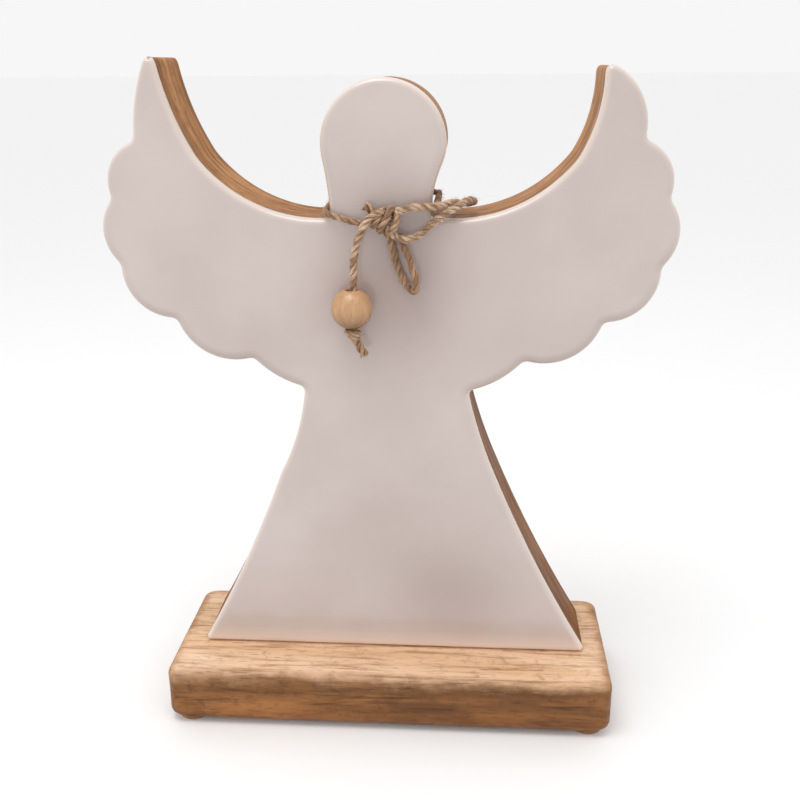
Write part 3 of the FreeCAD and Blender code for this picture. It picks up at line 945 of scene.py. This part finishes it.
def slab(outline, sections, lift, step):
    """A sawn piece: the outline run through sections of (inset, level), with both ends filled.

    lift turns a point of the outline and its level into a place, and step is the grid of the ends.
    """
    places, faces = [], []
    number = len(outline)
    for inset, level in sections:
        places += [lift(point, level) for point in drawn_in(outline, inset)]
    for row in range(len(sections) - 1):
        here, there = row * number, (row + 1) * number
        for spot in range(number):
            after = (spot + 1) % number
            faces.append((here + spot, here + after, there + after, there + spot))
    for row, flip in ((0, True), (len(sections) - 1, False)):
        inset, level = sections[row]
        ring = drawn_in(outline, inset)
        inner = grid_inside(ring, step, 0.5 * step)
        flat, cap = filled(ring, inner)
        offset = len(places)
        places += [lift(point, level) for point in flat[number:]]
        for face in cap:
            face = [corner + (row * number if corner < number else offset - number) for corner in face]
            faces.append(tuple(reversed(face)) if flip else tuple(face))
    return places, faces


def rounded(radius, level, direction):
    """Sections of (inset, level) round an edge, which ends at level."""
    made = []
    for step in range(EDGE_STEPS + 1):
        angle = math.radians(90 * step / EDGE_STEPS)
        made.append((radius * (1 - math.sin(angle)), level + direction * radius * (1 - math.cos(angle))))
    return made


class Mango(Finish):
    """Oiled mango wood. along is how each axis lies to the grain: small along it, 1 across it."""

    def __init__(self, name, along, specular=0.25):
        super().__init__(name, Specular_IOR_Level=specular)
        self.along = along
        self.bands = self.figure(75, 1.0, 4, 0.55, 0.9)
        self.lines = self.figure(380, 0.6, 5, 0.66, 0.35)
        self.pores = self.figure(1300, 0.8, 2, 0.5)
        self.mottle = self.clouds(self.place, 210, 4, 0.68, 0.3)

    def figure(self, across, stretch, detail, rough, warp=0.0):
        """Noise drawn out along the grain."""
        scale = [across * (1 if part == 1 else part * stretch) for part in self.along]
        return self.clouds(self.stretched(scale), 1, detail, rough, warp)

    def grained(self, pale, deep, streak):
        """Bands, lines and mottling between three colours."""
        colour = self.mix(self.ranged(self.bands, 0.30, 0.68), pale, deep)
        colour = self.mix(self.ranged(self.lines, 0.46, 0.72, 0, 0.75), colour, streak)
        return self.mix(self.ranged(self.mottle, 0.50, 0.78, 0, 0.55), colour, streak)

    def finished(self, colour):
        """The material, with its pores, gloss and relief."""
        colour = self.mix(self.ranged(self.pores, 0.58, 0.72, 0, 0.5), colour, paint(84, 52, 28))
        self.set("Base Color", colour)
        self.set("Roughness", self.ranged(self.lines, 0.25, 0.8, 0.36, 0.56))
        relief = self.bump(self.pores, 0.10 * MM, 0.6, self.bump(self.lines, 0.08 * MM, 0.6))
        self.set("Normal", relief)
        return self.material


def board_finish():
    """The golden, sanded board, darker towards the block."""
    wood = Mango("mango_board", (0.3, 1, 0.16), specular=0.03)
    colour = wood.grained(paint(189, 136, 88), paint(145, 99, 61), paint(96, 63, 36))
    # darker towards the block, below the waist
    return wood.finished(wood.mix(wood.attribute("darker_low"), colour, paint(100, 56, 22)))


def block_finish():
    """The block: pale on top and dark brown down its sides, with a ragged line between; the dark sides
    are partly the wood's own stain and partly painted shade.
    """
    wood = Mango("mango_block", (0.12, 1, 1))
    over_edge = wood.attribute("over_edge")
    ragged = wood.maths("SUBTRACT", wood.clouds(wood.stretched((50, 85, 85)), 1, 5, 0.72, 0.2), 0.5)
    reach = wood.maths("ADD", over_edge, wood.maths("MULTIPLY", ragged, 15.0))
    pale = wood.grained(paint(240, 204, 171), paint(228, 186, 146), paint(152, 104, 66))
    dark = wood.grained(paint(168, 113, 66), paint(122, 80, 46), paint(56, 35, 18))
    warm = wood.maths("ADD", over_edge, wood.maths("MULTIPLY", ragged, 14.0))
    dark = wood.mix(wood.ranged(warm, -22.0, -12.0, 0.55, 0.0), dark, paint(142, 90, 50))
    dark = wood.mix(wood.ranged(warm, -13.0, -4.0, 0.0, 0.4), dark, paint(78, 52, 30))
    blotches = wood.clouds(wood.stretched((34, 80, 80)), 1, 4, 0.7, 0.5)
    dark = wood.mix(wood.ranged(blotches, 0.46, 0.70, 0.0, 0.5), dark, paint(84, 55, 31))
    rim = wood.maths("ADD", wood.attribute("margin"), wood.maths("MULTIPLY", ragged, 12.0))
    pale = wood.mix(wood.ranged(rim, 0.0, 5.0, 0.75, 0.0), pale, paint(188, 130, 80))
    # darker towards the edges of the top
    near_edge = wood.maths("ADD", over_edge, wood.maths("MULTIPLY", wood.bands, 16.0))
    pale = wood.mix(wood.ranged(near_edge, 4.0, 13.0, 0.55, 0.0), pale, paint(158, 112, 74))
    # the dark sides against the pale top: partly stain and partly painted shade
    return wood.finished(wood.mix(wood.ranged(reach, -6.0, 4.0), dark, pale))


BOARD_EDGE = 1.1 * MM
BOARD_MIDDLE = Vector((0, 0, 0.17))
LOW_DARK_SHARE = 0.6
LOW_DARK_BELOW = 0.172
LOW_DARK_FADE = 0.03


def board(outline, front, back):
    """The sawn angel: smooth sanded sides, with a softened edge round the back."""
    levels = np.linspace(front + 0.5 * MM, back - BOARD_EDGE - 1.0 * MM, 15)
    sections = [(0.0, front)] + [(0.0, level) for level in levels]
    sections += rounded(BOARD_EDGE, back, -1)[::-1]

    def lift(point, level):
        x, z = point
        return (x, level, z)

    places, faces = slab(outline - outward(outline) * ENAMEL_STANDS_OUT, sections, lift, 6 * MM)
    foot = outline[:, 1].min()
    for spot, place in enumerate(places[: len(outline) * len(sections)]):
        inward = (BOARD_MIDDLE - Vector((place[0], 0, place[2]))).normalized()
        place = Vector(place) + inward * abs(swell(place, (22 * MM, 0.16 * MM), (6 * MM, 0.05 * MM)))
        places[spot] = (place.x, place.y, max(place.z, foot))
    made = mesh_piece("sawn_board", places, faces, board_finish())
    darker_low = [LOW_DARK_SHARE * clamped((LOW_DARK_BELOW - z) / LOW_DARK_FADE) for _, _, z in places]
    add_values(made, "darker_low", darker_low)
    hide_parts("angel_board")
    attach(made, "root")


def rounded_rectangle(low, high, radius, step):
    """A closed outline with round corners, counter-clockwise."""
    points = []
    corners = ((high.x, low.y, -90), (high.x, high.y, 0), (low.x, high.y, 90), (low.x, low.y, 180))
    for x, y, start in corners:
        centre = Vector((x - math.copysign(radius, x), y - math.copysign(radius, y)))
        for turn in range(0, 91, 10):
            angle = math.radians(start + turn)
            points.append((centre.x + radius * math.cos(angle), centre.y + radius * math.sin(angle)))
    return round_trip(np.array(points), step)


BLOCK_CORNER = 4.6 * MM
BLOCK_BOTTOM_EDGE = 4.2 * MM
BLOCK_TOP_EDGE = 2.2 * MM
BLOCK_STEP = 1.2 * MM
BLOCK_GRID = 2.5 * MM

# The strip of the top that carries the board stays flatter: its middle and half its width along y.
SEAT_MIDDLE = 8 * MM
SEAT_REACH = 20 * MM

# The underside is hollowed a little: how deep, how far from a corner that starts, and how it fades in.
HOLLOW_DEPTH = 0.7 * MM
HOLLOW_FROM = 8 * MM
HOLLOW_FADE = 14 * MM


def block():
    """The rectangular block: corners rounded over, and every face a little uneven."""
    low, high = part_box("base_block")
    outline = rounded_rectangle(low, high, BLOCK_CORNER, BLOCK_STEP)
    lowest = low.z + BLOCK_BOTTOM_EDGE + BLOCK_STEP
    highest = high.z - BLOCK_TOP_EDGE - BLOCK_STEP
    sections = rounded(BLOCK_BOTTOM_EDGE, low.z, 1)
    sections += [(0.0, level) for level in np.linspace(lowest, highest, 9)]
    sections += rounded(BLOCK_TOP_EDGE, high.z, -1)[::-1]

    def lift(point, level):
        x, y = point
        return (x, y, level)

    places, faces = slab(outline, sections, lift, BLOCK_GRID)
    middle = (low + high) / 2
    moved, over_edge, margin = [], [], []
    for place in places:
        place = Vector(place)
        reach = [min(place[axis] - low[axis], high[axis] - place[axis]) for axis in range(3)]
        from_side = min(reach[0], reach[1])
        over_edge.append((from_side - (high.z - place.z)) / MM)
        margin.append(min(reach[0], high.y - place.y) / MM)
        face_axis = reach.index(min(reach))
        push = Vector((0, 0, 0))
        push[face_axis] = math.copysign(1, middle[face_axis] - place[face_axis])
        wave = abs(swell(place, (30 * MM, 0.16 * MM), (9 * MM, 0.07 * MM)))
        on_top = face_axis == 2 and place.z > middle.z
        under_board = on_top and abs(place.y - SEAT_MIDDLE) < SEAT_REACH
        place += push * wave * (0.25 if under_board else 1)
        if place.z < middle.z and face_axis == 2:
            from_start = from_corner(place, low, high) - HOLLOW_FROM
            place.z += HOLLOW_DEPTH * clamped(from_start / HOLLOW_FADE)
        moved.append(place)
    made = mesh_piece("wood_block", moved, faces, block_finish())
    add_values(made, "over_edge", over_edge)
    add_values(made, "margin", margin)
    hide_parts("base_block")
    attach(made, "root")


def from_corner(place, low, high):
    """How far a place is, in plan, from the nearest corner of a box."""
    across = min(place.x - low.x, high.x - place.x)
    along = min(place.y - low.y, high.y - place.y)
    return math.hypot(across, along)


def felt_finish():
    """Brown pressed felt: matted fibres in every direction."""
    finish = Finish("felt", Roughness=0.95, Specular_IOR_Level=0.15, Sheen_Weight=0.5)
    fibres = finish.clouds(finish.place, 2600, 5, 0.75, 2.5)
    lumps = finish.clouds(finish.place, 420, 3, 0.6)
    colour = finish.mix(finish.ranged(fibres, 0.35, 0.65), paint(118, 84, 56), paint(160, 120, 84))
    colour = finish.mix(finish.ranged(lumps, 0.4, 0.8, 0, 0.4), colour, paint(112, 80, 54))
    finish.set("Base Color", colour)
    finish.set("Normal", finish.bump(fibres, 0.15 * MM, 0.9))
    return finish.material


def screw_finish():
    """Zinc-plated steel: fine turning marks round the shank and a few dull patches."""
    finish = Finish("screw_steel", Metallic=1.0, Specular_IOR_Level=0.5)
    turning = finish.clouds(finish.stretched((260, 260, 5200)), 1, 3, 0.6)
    patches = finish.clouds(finish.place, 480, 3, 0.55)
    colour = finish.mix(finish.ranged(patches, 0.35, 0.7), paint(196, 194, 186), paint(158, 152, 140))
    colour = finish.mix(finish.ranged(turning, 0.55, 0.8, 0, 0.5), colour, paint(116, 108, 98))
    finish.set("Base Color", colour)
    finish.set("Roughness", finish.ranged(patches, 0.3, 0.75, 0.26, 0.48))
    finish.set("Normal", finish.bump(turning, 0.03 * MM, 0.7))
    return finish.material


def finish_cad_nodes():
    """The pads and screws keep their own shapes, and take the finishes made here."""
    felt, steel = felt_finish(), screw_finish()
    for name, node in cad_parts.items():
        if name.startswith("felt_pad") or name == "fixing_screws":
            for slot in node.material_slots:
                slot.material = steel if name == "fixing_screws" else felt


enamel_low, enamel_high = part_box("enamel_face")
sawn = with_square_hem(outline_of("enamel_face", enamel_high.y))
sawn = softened(round_trip(sawn, OUTLINE_STEP), 2)
enamel(sawn, enamel_low.y, enamel_high.y)
board(sawn, enamel_high.y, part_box("angel_board")[1].y)
block()
finish_cad_nodes()


# ---------------------------------------------------------------- light and floor

SKY = 0.93
FLOOR_REACH = 20.0
FLOOR_GREY = 0.96

scene = bpy.context.scene
scene.view_settings.view_transform = "Standard"
world = bpy.data.worlds.new("world")
world.use_nodes = True
sky = world.node_tree.nodes["Background"]
sky.inputs["Color"].default_value = (1, 1, 1, 1)
sky.inputs["Strength"].default_value = SKY
scene.world = world


def add_lamp(name, place, aim, size, power):
    """A square soft box that faces a point."""
    lamp = bpy.data.objects.new(name, bpy.data.lights.new(name, "AREA"))
    lamp.data.size = size
    lamp.data.energy = power
    lamp.location = place
    lamp.rotation_euler = (Vector(aim) - Vector(place)).to_track_quat("-Z", "Y").to_euler()
    bpy.context.collection.objects.link(lamp)


add_lamp("overhead", (-0.12, -0.16, 0.80), (0, 0, 0.06), 0.40, 1.9)
add_lamp("front", (-0.3, -1.0, 0.42), (0, 0, 0.10), 0.7, 0.2)


def add_floor():
    """A wide pale floor under the block's feet."""
    corners = [(x * FLOOR_REACH, y * FLOOR_REACH, 0) for x, y in ((-1, -1), (1, -1), (1, 1), (-1, 1))]
    finish = Finish("floor", Roughness=0.8)
    finish.set("Base Color", (FLOOR_GREY, FLOOR_GREY, FLOOR_GREY, 1))
    mesh_piece("floor", corners, [(0, 1, 2, 3)], finish.material)


add_floor()
